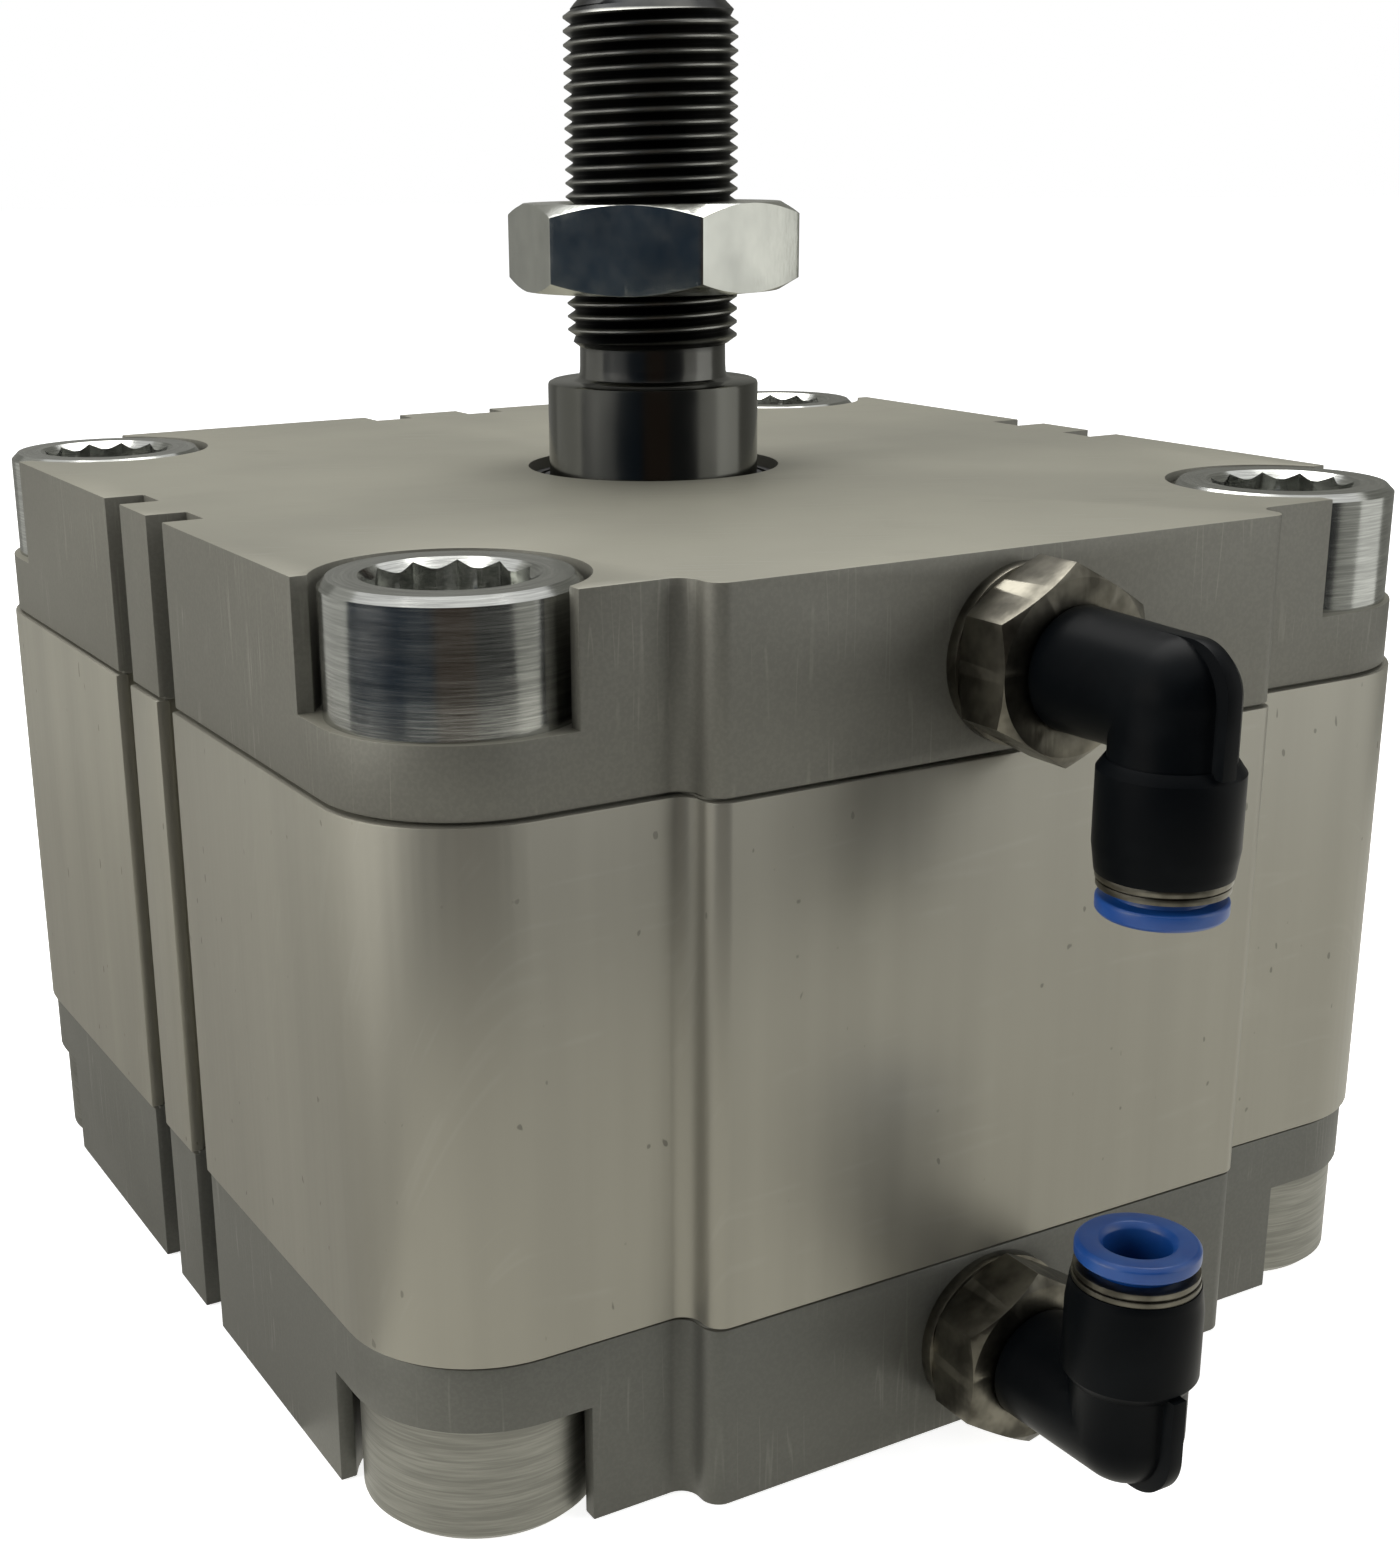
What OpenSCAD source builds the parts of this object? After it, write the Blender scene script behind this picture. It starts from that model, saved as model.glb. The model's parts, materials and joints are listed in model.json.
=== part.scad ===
// Compact pneumatic cylinder with a male rod thread, a lock nut and two swivel push-in elbows.
// Millimetres. +Z runs along the rod. The origin is on the rod's axis, in the rear cap's outer face.
// The ports and their elbows face -Y.

/* [Housing] */
// Width of each end cap, measured across two flat sides
cap_w = 129; // [124:1:140]
// Height of each end cap
cap_h = 20; // [19:0.5:28]
// Length of the barrel between the caps
barrel_l = 53.4; // [50:0.1:90]
// How far the barrel's sides stand out past the caps
barrel_step = 0.4; // [0.1:0.1:1]
// Radius of the housing's upright corners
corner_r = 14; // [13:0.5:16]
// Half the width of the raised port pad, at its outer face
pad_half_w = 34.6; // [28:0.2:36]
// How far the port pad stands out
pad_h = 4.5; // [3:0.1:6]
// Radius of the round and the hollow on each side of the pad
pad_r = 2; // [1:0.1:2.2]
// Height of the dark groove on each cap's edge at the barrel joint
joint_groove = 0.35; // [0.1:0.05:0.6]

/* [Sensor slots] */
// Distance of each slot from the middle of its side
slot_pitch = 7.2; // [6:0.1:12]
// Width of the slots in the caps
cap_slot_w = 5.4; // [4.8:0.1:6]
// Depth of the slots in the caps
cap_slot_d = 4.5; // [4.2:0.1:5]
// Width of the barrel's slots at their mouth
slot_mouth = 5.2; // [4.6:0.1:5.4]
// Width of the barrel's slots behind their lips
slot_w = 6.6; // [6:0.1:7.4]
// Thickness of the lips of the barrel's slots
slot_lip = 1.5; // [1:0.1:2]
// Depth of the barrel's slots
slot_d = 5; // [4.4:0.1:5.6]

/* [Corner screws] */
// Distance between two corner screws
screw_pitch = 103; // [98:0.5:110]
// Diameter of the screw heads
head_d = 24; // [20:0.5:25]
// Height of the screw heads
head_h = 12.7; // [11:0.1:15]
// Diameter of the screw shanks
shank_d = 16; // [13:0.5:16]
// Depth of the shanks in the barrel
shank_grip = 18; // [14:1:24]
// Width across the flats of the twelve-point sockets
socket_af = 14; // [12:0.5:16]
// Depth of the sockets
socket_d = 6; // [4:0.5:8]
// Diameter of the mounting threads in the screws
mount_d = 10; // [8:0.5:10]
// Depth of the mounting threads, measured from the socket's floor
mount_thread_l = 11; // [9:0.5:14]
// Gap between a head and its round seat
head_gap = 0.8; // [0.4:0.1:1]
// Distance from the middle plane to the square corner cut's walls
corner_cut = 45.5; // [44:0.5:48]

/* [Piston and rod] */
// Diameter of the barrel's bore
bore_d = 100; // [96:1:104]
// Travel of the piston rod
stroke = 25; // [10:1:25]
// Diameter of the piston rod
rod_d = 25; // [22:0.5:26]
// How far the rod's shoulder stands out of the front cap when retracted
shoulder_h = 10; // [8:0.5:16]
// Diameter of the rod's thread
thread_d = 20; // [18:0.5:20]
// Diameter of the relief between the shoulder and the thread
relief_d = 17.3; // [15.5:0.1:17.6]
// Length of the relief
relief_l = 4.5; // [3:0.5:6]
// Length of the thread
thread_l = 37.8; // [34:0.1:44]
// Thickness of each elastic end stop
buffer_t = 2; // [1:0.1:3]
// Depth of each cap's spigot in the barrel
spigot_h = 3; // [2.8:0.1:4]
// Gap left at each end of the piston's travel
end_gap = 0.1; // [0.05:0.05:0.3]

/* [Lock nut] */
// Width across the nut's flats
nut_af = 30; // [28:0.5:32]
// Height of the nut
nut_h = 9.8; // [8:0.1:12]
// Distance from the rod's shoulder to the nut
nut_lift = 10.4; // [6:0.1:14]
// How far the nut is turned
nut_turn = 18.5; // [0:0.5:60]

/* [Fittings] */
// Distance of each port's axis from the nearest end face
port_inset = 10.2; // [10:0.1:12]
// Diameter of the port thread
port_d = 13.2; // [12.6:0.1:13.6]
// Width across the flats of the fitting's hexagon
hex_af = 17; // [16:0.5:19]
// Distance from the pad to the hexagon's front face
hex_top = 8; // [7:0.1:10]
// Distance from the pad to the axis of the elbow's leg
leg_out = 21; // [20:0.5:26]
// Diameter of the elbow's body
elbow_d = 11.4; // [11:0.1:12.4]
// Diameter of the elbow's sleeve
sleeve_d = 13.2; // [12.8:0.1:15]
// Distance from the port's axis to the start of the sleeve
sleeve_from = 5.5; // [5:0.1:7]
// Distance from the port's axis to the end of the sleeve
sleeve_to = 16; // [15.5:0.1:19]
// Outer diameter of the air tube that fits
tube_d = 6; // [5.6:0.1:6]
// Thickness of the elbow's rib, on the outside of the bend
rib_t = 1.6; // [1:0.1:2.4]
// How far the rib reaches from the leg's axis
rib_reach = 7; // [6.4:0.1:8]
// Diameter of the release ring's flange
flange_d = 12; // [11:0.1:13]
// Thickness of the release ring's flange
flange_t = 1.7; // [1.2:0.1:2]
// Travel of the release ring
ring_travel = 0.8; // [0.5:0.1:1.2]

/* [Hidden] */
$fn = 64;
fit = 0.05;         // radial gap of a running fit
seat_gap = 0.2;     // radial gap between pieces that don't run on each other
eps = 0.01;
total_h = barrel_l + 2 * cap_h;
half_w = cap_w / 2;
pad_y = half_w + pad_h;
barrel_half = half_w + barrel_step;
pad_foot = 0.3;                                   // how far the barrel's pad stands past the caps' pads

bore_r = bore_d / 2;
rod_r = rod_d / 2;
spigot_r = bore_r - seat_gap;
cap_ring_r = 0.95;                                // half thickness of the cap's sealing ring
cap_ring_mid = bore_r - seat_gap + 0.05 - cap_ring_r;
cap_groove_r = cap_ring_mid - cap_ring_r - 0.05;
cap_groove_h = 2 * cap_ring_r + 0.1;

shank_r = shank_d / 2;
head_r = head_d / 2;
head_bevel = 0.8;
socket_mouth_r = socket_af / sqrt(3) + 0.3;       // the bevel starts just outside the socket's points
shank_l = cap_h - head_h + shank_grip;

seal_h = 6;                                       // rod seal
seal_drop = 1.4;                                  // how deep the rod seal sits below the cap's face
seal_r = rod_r + 2.45;
bush_r = rod_r + 1.95;
bush_l = cap_h + spigot_h - seal_drop - seal_h - 0.8;

piston_h = barrel_l - 2 * spigot_h - 2 * buffer_t - stroke - 2 * end_gap;
piston_z = cap_h + spigot_h + buffer_t + end_gap; // underside of the retracted piston
piston_r = bore_r - 0.7;
lip_h = 2.8;
lip_w = 4.9;
magnet_h = 2.8;
magnet_w = 5;
band_h = 3.2;
band_w = 2.5;
groove_play = 0.1;
land = (piston_h - 2 * lip_h - magnet_h - band_h - 8 * groove_play) / 5;
lower_lip_z = piston_z + land + groove_play;
magnet_z = lower_lip_z + lip_h + land + 2 * groove_play;
band_z = magnet_z + magnet_h + land + 2 * groove_play;
upper_lip_z = band_z + band_h + land + 2 * groove_play;
running_r = bore_r - fit;                         // outer radius of the piston's seals and guide band
lip_floor_r = running_r - lip_w - fit;
band_floor_r = running_r - band_w - fit;
magnet_r = piston_r - 0.8;

rod_foot_l = 8;                                   // the rod's thin end, inside the piston
rod_foot_r = rod_r - 4.5;
piston_top = piston_z + piston_h;
bolt_r = 6;
bolt_l = 26;
bolt_head_r = rod_foot_r + 3;
bolt_head_h = 6.5;
shoulder_z = total_h + shoulder_h;
thread_z = shoulder_z + relief_l;
thread_r = thread_d / 2;
rod_end = thread_z + thread_l;
tip_bevel = 1.8;

port_r = port_d / 2;
port_l = 9;                                       // length of the fitting's thread
shoulder_t = 1.4;                                 // the fitting's round collar
collar_r = hex_af / 2 + 0.4;
stem_r = 5;
stem_l = hex_top + 1.5;
stem_hole_r = 2.6;
swivel_ring_r = 0.55;
swivel_ring_at = 3;
tube_r = tube_d / 2;
tube_seat_l = 4;
seal_play = 0.35;                                 // radial gap of the tube's seal and gripper, at rest
ring_stem_r = tube_r + 1.5;                       // the release ring's stem
pocket_r = ring_stem_r + fit + 0.65;              // the bore behind the tube's seat
grip_at = sleeve_from + tube_seat_l + 2.2;
clamp_h = 1.4;                                    // the bright clamping ring on the sleeve's end
clamp_r = sleeve_d / 2 - 0.45;
flange_at = sleeve_to + clamp_h + ring_travel + end_gap;
ring_face = flange_at + flange_t;
ring_stem_from = grip_at + 0.9 + ring_travel + end_gap;

PORTS = ["upper", "lower"];
FITTING = ["stud", "port_seal", "elbow", "swivel_ring", "tube_seal", "gripper", "clamp_ring", "release_ring"];
CORNERS = [[1, 1], [-1, 1], [-1, -1], [1, -1]];
SLOT_SIDES = [0, 90, 180];                        // the sides with sensor slots, as turns from +X

// ---- shared shapes ----

// A ring with a rectangular section
module ring(inner, outer, h) {
    difference() {
        cylinder(r = outer, h = h);
        translate([0, 0, -1]) cylinder(r = inner, h = h + 2);
    }
}

// A ring with a round section, in the XY plane
module round_ring(mid, r) {
    rotate_extrude() translate([mid, 0]) circle(r = r, $fn = 24);
}

// A hexagonal block with rounded-off corners at the ends that are asked for
module hex_block(af, h, lower = true, upper = true) {
    corner = af / sqrt(3);
    dip = (corner - af / 2) * tan(30);
    intersection() {
        cylinder(r = corner, h = h, $fn = 6);
        rotate_extrude() polygon([
            [0, 0],
            [lower ? af / 2 : corner + 1, 0],
            [corner + 1, lower ? dip + tan(30) : 0],
            [corner + 1, upper ? h - dip - tan(30) : h],
            [upper ? af / 2 : corner + 1, h],
            [0, h]
        ]);
    }
}

// The housing's plan: a square with round corners, and the port pad on the -Y side
module plan(half, pad_reach) {
    square([2 * half, 2 * (half - corner_r)], center = true);
    square([2 * (half - corner_r), 2 * half], center = true);
    for (c = CORNERS) translate((half - corner_r) * c) circle(r = corner_r);
    edge = pad_half_w;
    translate([-edge + pad_r, -pad_reach]) square([2 * (edge - pad_r), pad_reach - half + 1]);
    translate([-edge, -pad_reach + pad_r]) square([2 * edge, pad_reach - half + 1 - pad_r]);
    for (side = [-1, 1]) {
        translate([side * (edge - pad_r), -pad_reach + pad_r]) circle(r = pad_r);
        difference() {
            translate([side * (edge + pad_r / 2 - eps), -half - pad_r / 2 + eps / 2])
                square([pad_r + 2 * eps, pad_r + eps], center = true);
            translate([side * (edge + pad_r), -half - pad_r]) circle(r = pad_r);
        }
    }
}

// Two straight slots in one side of a cap
module cap_slots() {
    for (turn = SLOT_SIDES) rotate(turn) for (side = [-1, 1])
        translate([half_w - cap_slot_d, side * slot_pitch - cap_slot_w / 2]) square([cap_slot_d + 2, cap_slot_w]);
}

// Two slots with lips in one side of the barrel
module barrel_slots() {
    for (turn = SLOT_SIDES) rotate(turn) for (side = [-1, 1]) translate([0, side * slot_pitch]) {
        translate([barrel_half - slot_d, -slot_mouth / 2]) square([slot_d + 1, slot_mouth]);
        translate([barrel_half - slot_d, -slot_w / 2]) square([slot_d - slot_lip, slot_w]);
    }
}

module at_corner(i) {
    translate([CORNERS[i][0] * screw_pitch / 2, CORNERS[i][1] * screw_pitch / 2, 0]) children();
}

// ---- housing ----

// One end cap with its joint face at z = 0, its outer face at the top and its spigot below
module end_cap() {
    port_z = cap_h - port_inset;
    riser_y = -bore_r + 6;
    difference() {
        union() {
            translate([0, 0, joint_groove]) linear_extrude(cap_h - joint_groove) difference() {
                plan(half_w, pad_y);
                cap_slots();
            }
            linear_extrude(joint_groove) difference() {
                plan(half_w - 0.6, pad_y - 0.6);
                cap_slots();
            }
            translate([0, 0, -spigot_h]) cylinder(r = spigot_r, h = spigot_h + eps, $fn = 128);
        }
        for (i = [0:3]) at_corner(i) {
            translate([0, 0, cap_h - head_h]) cylinder(r = head_r + head_gap, h = head_h + 1);
            translate([0, 0, -1]) cylinder(r = shank_r + seat_gap, h = cap_h + 2);
        }
        for (c = CORNERS) translate([c[0] * (corner_cut + 20), c[1] * (corner_cut + 20), cap_h - head_h + 20])
            cube(40, center = true);
        translate([0, 0, -spigot_h / 2 - cap_groove_h / 2]) ring(cap_groove_r, bore_r + 1, cap_groove_h);
        translate([0, -pad_y - 1, port_z]) rotate([-90, 0, 0]) {
            cylinder(r = port_r + fit, h = 13 + 1);
            cylinder(r = 4, h = pad_y + riser_y + 1);
            cylinder(r1 = port_r + 2, r2 = port_r - 0.5, h = 2.5);
        }
        translate([0, riser_y, -spigot_h - 1]) cylinder(r = 2.5, h = spigot_h + 1 + port_z);
    }
}

module rear_cap() {
    color([0.52, 0.52, 0.49]) translate([0, 0, cap_h]) mirror([0, 0, 1]) end_cap();
}

module front_cap() {
    color([0.62, 0.61, 0.57]) translate([0, 0, cap_h + barrel_l]) difference() {
        end_cap();
        translate([0, 0, -spigot_h - 1]) cylinder(r = bush_r + fit, h = cap_h + spigot_h + 2);
        translate([0, 0, cap_h - seal_drop - seal_h]) cylinder(r = seal_r + fit, h = seal_h + seal_drop + 1);
    }
}

module barrel() {
    color([0.68, 0.66, 0.6]) translate([0, 0, cap_h]) difference() {
        linear_extrude(barrel_l) difference() {
            plan(barrel_half, pad_y + pad_foot);
            barrel_slots();
        }
        translate([0, 0, -1]) cylinder(r = bore_r, h = barrel_l + 2, $fn = 128);
        for (i = [0:3]) at_corner(i) translate([0, 0, -1]) cylinder(r = shank_r + fit, h = barrel_l + 2);
    }
}

module cap_seal(z) {
    color([0.08, 0.08, 0.08]) translate([0, 0, z]) round_ring(cap_ring_mid, cap_ring_r);
}

module buffer(z) {
    color([0.1, 0.1, 0.1]) translate([0, 0, z]) ring(bore_r - 22, bore_r - 11, buffer_t);
}

// A corner screw with its head's outer face at z = 0 and its shank below
module corner_screw() {
    color([0.75, 0.76, 0.76]) difference() {
        union() {
            rotate_extrude() polygon([
                [0, 0],
                [head_r - head_bevel, 0],
                [head_r, -head_bevel],
                [head_r, -head_h],
                [0, -head_h]
            ]);
            translate([0, 0, -head_h - shank_l]) cylinder(r = shank_r, h = shank_l + eps);
        }
        for (turn = [0, 30]) rotate(turn) translate([0, 0, -socket_d])
            cylinder(r = socket_af / sqrt(3), h = socket_d + 1, $fn = 6);
        translate([0, 0, -0.9]) cylinder(r1 = socket_mouth_r - 1, r2 = socket_mouth_r + 0.1, h = 1);
        translate([0, 0, -socket_d - mount_thread_l]) cylinder(r = mount_d / 2, h = mount_thread_l + 1);
    }
}

module front_screw(i) {
    at_corner(i) translate([0, 0, total_h]) corner_screw();
}

module rear_screw(i) {
    at_corner(i) mirror([0, 0, 1]) corner_screw();
}

module rod_bush() {
    color([0.62, 0.45, 0.22]) translate([0, 0, cap_h + barrel_l - spigot_h + 0.3])
        ring(rod_r + fit, bush_r, bush_l);
}

module rod_seal() {
    color([0.05, 0.05, 0.05]) translate([0, 0, total_h - seal_drop - seal_h]) difference() {
        ring(rod_r + fit, seal_r, seal_h);
        translate([0, 0, seal_h - 1.5]) ring(rod_r + 0.9, seal_r - 0.9, 2);
    }
}

// ---- piston and rod ----

module piston_rod() {
    color([0.35, 0.35, 0.34]) difference() {
        rotate_extrude() polygon([
            [0, piston_top - rod_foot_l],
            [rod_foot_r, piston_top - rod_foot_l],
            [rod_foot_r, piston_top],
            [rod_r, piston_top],
            [rod_r, shoulder_z - 0.4],
            [rod_r - 0.4, shoulder_z],
            [relief_d / 2 + 0.8, shoulder_z],
            [relief_d / 2, shoulder_z + 0.8],
            [relief_d / 2, thread_z - (thread_r - relief_d / 2)],
            [thread_r, thread_z],
            [thread_r, rod_end - tip_bevel],
            [thread_r - tip_bevel, rod_end],
            [0, rod_end]
        ]);
        translate([0, 0, piston_top - rod_foot_l - 1]) cylinder(r = bolt_r + fit, h = bolt_l + 2);
        translate([0, 0, rod_end - 2.5]) cylinder(r1 = 0, r2 = 3, h = 3);
    }
}

module piston() {
    seat_z = piston_top - rod_foot_l - 0.3;
    color([0.72, 0.72, 0.7]) difference() {
        translate([0, 0, piston_z]) cylinder(r = piston_r, h = piston_h, $fn = 128);
        translate([0, 0, piston_z - 1]) cylinder(r = rod_foot_r + fit, h = piston_h + 2);
        translate([0, 0, piston_z - 1]) cylinder(r = bolt_head_r + seat_gap, h = seat_z - piston_z + 1);
        groove(lower_lip_z, lip_h, lip_floor_r);
        groove(magnet_z, magnet_h, magnet_r - magnet_w - fit);
        groove(band_z, band_h, band_floor_r);
        groove(upper_lip_z, lip_h, lip_floor_r);
    }
}

// The cut for a ring of height h that lies around the piston
module groove(z, h, floor_r) {
    translate([0, 0, z - groove_play]) ring(floor_r, bore_r, h + 2 * groove_play);
}

module piston_magnet() {
    color([0.15, 0.15, 0.16]) translate([0, 0, magnet_z]) ring(magnet_r - magnet_w, magnet_r, magnet_h);
}

module guide_band() {
    color([0.3, 0.22, 0.14]) translate([0, 0, band_z]) ring(running_r - band_w, running_r, band_h);
}

// A lip seal whose lips open upwards
module lip_seal() {
    color([0.06, 0.06, 0.06]) difference() {
        ring(running_r - lip_w, running_r, lip_h);
        translate([0, 0, lip_h - 1.5]) ring(running_r - lip_w + 1.2, running_r - 1.2, 2);
    }
}

module lower_piston_seal() {
    translate([0, 0, lower_lip_z + lip_h]) mirror([0, 0, 1]) lip_seal();
}

module upper_piston_seal() {
    translate([0, 0, upper_lip_z]) lip_seal();
}

module piston_bolt() {
    head_top = piston_top - rod_foot_l - 0.3;
    color([0.3, 0.3, 0.31]) difference() {
        union() {
            translate([0, 0, head_top - bolt_head_h]) cylinder(r = bolt_head_r, h = bolt_head_h);
            translate([0, 0, head_top - eps]) cylinder(r = bolt_r, h = bolt_l + eps);
        }
        translate([0, 0, head_top - bolt_head_h - 1]) cylinder(r = 5, h = 5, $fn = 6);
    }
}

module lock_nut() {
    color([0.74, 0.75, 0.75]) translate([0, 0, shoulder_z + nut_lift]) rotate(nut_turn) difference() {
        hex_block(nut_af, nut_h);
        translate([0, 0, -1]) cylinder(r = thread_r + fit, h = nut_h + 2);
        for (end = [0, 1]) translate([0, 0, end * nut_h]) mirror([0, 0, end])
            translate([0, 0, -1]) cylinder(r1 = thread_r + 1.9, r2 = thread_r - 0.1, h = 2);
    }
}

// ---- fittings, drawn with +Z out of the port and +X along the elbow's leg ----

// Puts a fitting on its port, with the leg down on the upper port and up on the lower one
module at_port(port) {
    z = port == "upper" ? total_h - port_inset : port_inset;
    turn = port == "upper" ? -90 : 90;
    translate([0, -pad_y, z]) rotate([90, 0, 0]) rotate(turn) children();
}

// Turns a shape that stands on z = 0 to lie along the elbow's leg
module along_leg(from) {
    translate([0, 0, leg_out]) rotate([0, 90, 0]) translate([0, 0, from]) children();
}

module stud() {
    color([0.7, 0.68, 0.6]) difference() {
        union() {
            translate([0, 0, -port_l]) cylinder(r = port_r, h = port_l + eps);
            cylinder(r = collar_r, h = shoulder_t + eps);
            translate([0, 0, shoulder_t]) hex_block(hex_af, hex_top - shoulder_t, true, true);
        }
        translate([0, 0, hex_top - stem_l - 0.3]) cylinder(r = stem_r + fit, h = stem_l + 2);
        translate([0, 0, -port_l - 1]) cylinder(r = 3.2, h = port_l + hex_top);
        translate([0, 0, -1]) ring(port_r, collar_r - 0.5, 2);
    }
}

module port_seal() {
    color([0.12, 0.12, 0.12]) ring(port_r + 0.1, collar_r - 0.6, 0.95);
}

module elbow() {
    r = elbow_d / 2;
    color([0.03, 0.035, 0.04]) difference() {
        union() {
            translate([0, 0, hex_top - stem_l]) cylinder(r = stem_r, h = stem_l + 1);
            translate([0, 0, hex_top + 0.3]) cylinder(r1 = r + 0.3, r2 = r, h = leg_out - hex_top - 0.3);
            translate([0, 0, leg_out]) sphere(r = r);
            along_leg(0) cylinder(r = r, h = sleeve_from + 1);
            along_leg(0) sleeve();
            rib();
        }
        translate([0, 0, hex_top - stem_l - 1]) cylinder(r = stem_hole_r, h = leg_out - hex_top + stem_l + 1);
        along_leg(0) {
            cylinder(r = stem_hole_r, h = sleeve_to);
            translate([0, 0, sleeve_from]) cylinder(r = tube_r + 0.08, h = sleeve_to);
            translate([0, 0, sleeve_from + tube_seat_l]) cylinder(r = pocket_r, h = sleeve_to);
        }
        translate([0, 0, swivel_ring_at - swivel_ring_r - 0.05])
            ring(stem_r - 2 * swivel_ring_r - 0.05, stem_r + 1, 2 * swivel_ring_r + 0.1);
    }
}

// The thick end of the elbow's leg, which narrows at both ends
module sleeve() {
    wide = sleeve_d / 2;
    rotate_extrude() polygon([
        [0, sleeve_from],
        [wide - 0.7, sleeve_from],
        [wide, sleeve_from + 1],
        [wide, sleeve_to - 2.6],
        [wide - 0.35, sleeve_to],
        [0, sleeve_to]
    ]);
}

// A thin flat rib in the plane of both axes, with a round corner outside the bend
module rib() {
    r = elbow_d / 2;
    translate([0, rib_t / 2, leg_out]) rotate([90, 0, 0]) linear_extrude(rib_t) {
        translate([-r + 5, rib_reach - 5]) circle(r = 5);
        translate([-r + 5, -r]) square([r - 5 + sleeve_from + 0.5, rib_reach + r]);
        translate([-r, -r]) square([r, rib_reach + r - 5]);
    }
}

module swivel_ring() {
    color([0.05, 0.05, 0.05]) translate([0, 0, swivel_ring_at]) round_ring(stem_r - swivel_ring_r, swivel_ring_r);
}

module tube_seal() {
    color([0.06, 0.06, 0.06]) along_leg(sleeve_from + tube_seat_l + 0.1)
        ring(tube_r + seal_play, pocket_r - fit, grip_at - sleeve_from - tube_seat_l - 0.2);
}

// The toothed ring that holds the tube
module gripper() {
    color([0.7, 0.7, 0.68]) along_leg(grip_at) difference() {
        ring(tube_r + seal_play, pocket_r - fit, 0.8);
        for (turn = [0:45:315]) rotate(turn) translate([0, -0.25, -1]) cube([tube_r + 1, 0.5, 3]);
    }
}

module clamp_ring() {
    color([0.75, 0.74, 0.7]) along_leg(0) difference() {
        union() {
            translate([0, 0, sleeve_to]) cylinder(r = clamp_r, h = 0.6);
            translate([0, 0, sleeve_to + 0.5]) cylinder(r = clamp_r - 0.35, h = 0.4);
            translate([0, 0, sleeve_to + 0.8]) cylinder(r = clamp_r - 0.12, h = clamp_h - 0.8);
            translate([0, 0, grip_at + 0.85]) cylinder(r = pocket_r - fit, h = sleeve_to - grip_at - 0.8);
        }
        translate([0, 0, grip_at]) cylinder(r = ring_stem_r + fit, h = sleeve_to);
    }
}

module release_ring() {
    color([0.05, 0.2, 0.5]) along_leg(0) difference() {
        rotate_extrude() polygon([
            [0, ring_stem_from],
            [ring_stem_r, ring_stem_from],
            [ring_stem_r, flange_at],
            [flange_d / 2 - 0.2, flange_at],
            [flange_d / 2, flange_at + 0.2],
            [flange_d / 2, ring_face - 0.4],
            [flange_d / 2 - 0.4, ring_face],
            [0, ring_face]
        ]);
        translate([0, 0, ring_stem_from - 1]) cylinder(r = tube_r + 0.3, h = 20);
        translate([0, 0, ring_face - 0.7]) cylinder(r1 = tube_r + 0.2, r2 = tube_r + 0.9, h = 0.8);
    }
}

module fitting_piece(piece) {
    if (piece == "stud") stud();
    if (piece == "port_seal") port_seal();
    if (piece == "elbow") elbow();
    if (piece == "swivel_ring") swivel_ring();
    if (piece == "tube_seal") tube_seal();
    if (piece == "gripper") gripper();
    if (piece == "clamp_ring") clamp_ring();
    if (piece == "release_ring") release_ring();
}

rear_cap();
front_cap();
barrel();
cap_seal(cap_h + spigot_h / 2);  // rear_cap_seal
cap_seal(cap_h + barrel_l - spigot_h / 2);  // front_cap_seal
buffer(cap_h + spigot_h);  // rear_buffer
buffer(cap_h + barrel_l - spigot_h - buffer_t);  // front_buffer
for (i = [0:3]) front_screw(i);
for (i = [0:3]) rear_screw(i);
rod_bush();
rod_seal();
piston_rod();
piston();
piston_magnet();
piston_bolt();
lower_piston_seal();
upper_piston_seal();
guide_band();
lock_nut();
for (port = PORTS) for (piece = FITTING)
    at_port(port) fitting_piece(piece);
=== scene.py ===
import json
import math

import bmesh
import bpy
from mathutils import Matrix, Vector


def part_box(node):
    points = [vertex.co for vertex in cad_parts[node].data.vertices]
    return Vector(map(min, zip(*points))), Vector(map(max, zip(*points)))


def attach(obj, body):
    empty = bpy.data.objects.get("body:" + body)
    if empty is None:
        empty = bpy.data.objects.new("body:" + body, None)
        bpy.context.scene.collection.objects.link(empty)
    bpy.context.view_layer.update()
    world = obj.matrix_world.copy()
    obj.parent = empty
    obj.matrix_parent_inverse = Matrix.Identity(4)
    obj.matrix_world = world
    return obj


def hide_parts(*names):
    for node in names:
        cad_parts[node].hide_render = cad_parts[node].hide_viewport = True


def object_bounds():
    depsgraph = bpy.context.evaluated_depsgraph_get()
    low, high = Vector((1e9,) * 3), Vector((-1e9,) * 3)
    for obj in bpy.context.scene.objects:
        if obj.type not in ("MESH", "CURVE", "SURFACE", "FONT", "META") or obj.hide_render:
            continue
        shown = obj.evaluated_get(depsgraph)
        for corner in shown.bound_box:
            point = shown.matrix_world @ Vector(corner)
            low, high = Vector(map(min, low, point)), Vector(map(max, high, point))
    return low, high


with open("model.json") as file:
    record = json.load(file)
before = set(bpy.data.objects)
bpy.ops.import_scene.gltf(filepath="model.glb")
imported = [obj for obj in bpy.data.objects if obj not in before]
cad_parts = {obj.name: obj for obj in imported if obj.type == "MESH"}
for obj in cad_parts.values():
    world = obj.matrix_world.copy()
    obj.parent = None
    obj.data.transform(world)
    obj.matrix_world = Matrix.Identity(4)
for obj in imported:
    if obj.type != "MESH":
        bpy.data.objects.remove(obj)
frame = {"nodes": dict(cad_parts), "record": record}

cad_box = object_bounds()

# ---- Camera and studio ----
# A normal lens close to the front left corner, a little above the housing. The floor and the
# backdrop are white card, and the light is soft and comes mostly from above and from the left.

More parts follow.
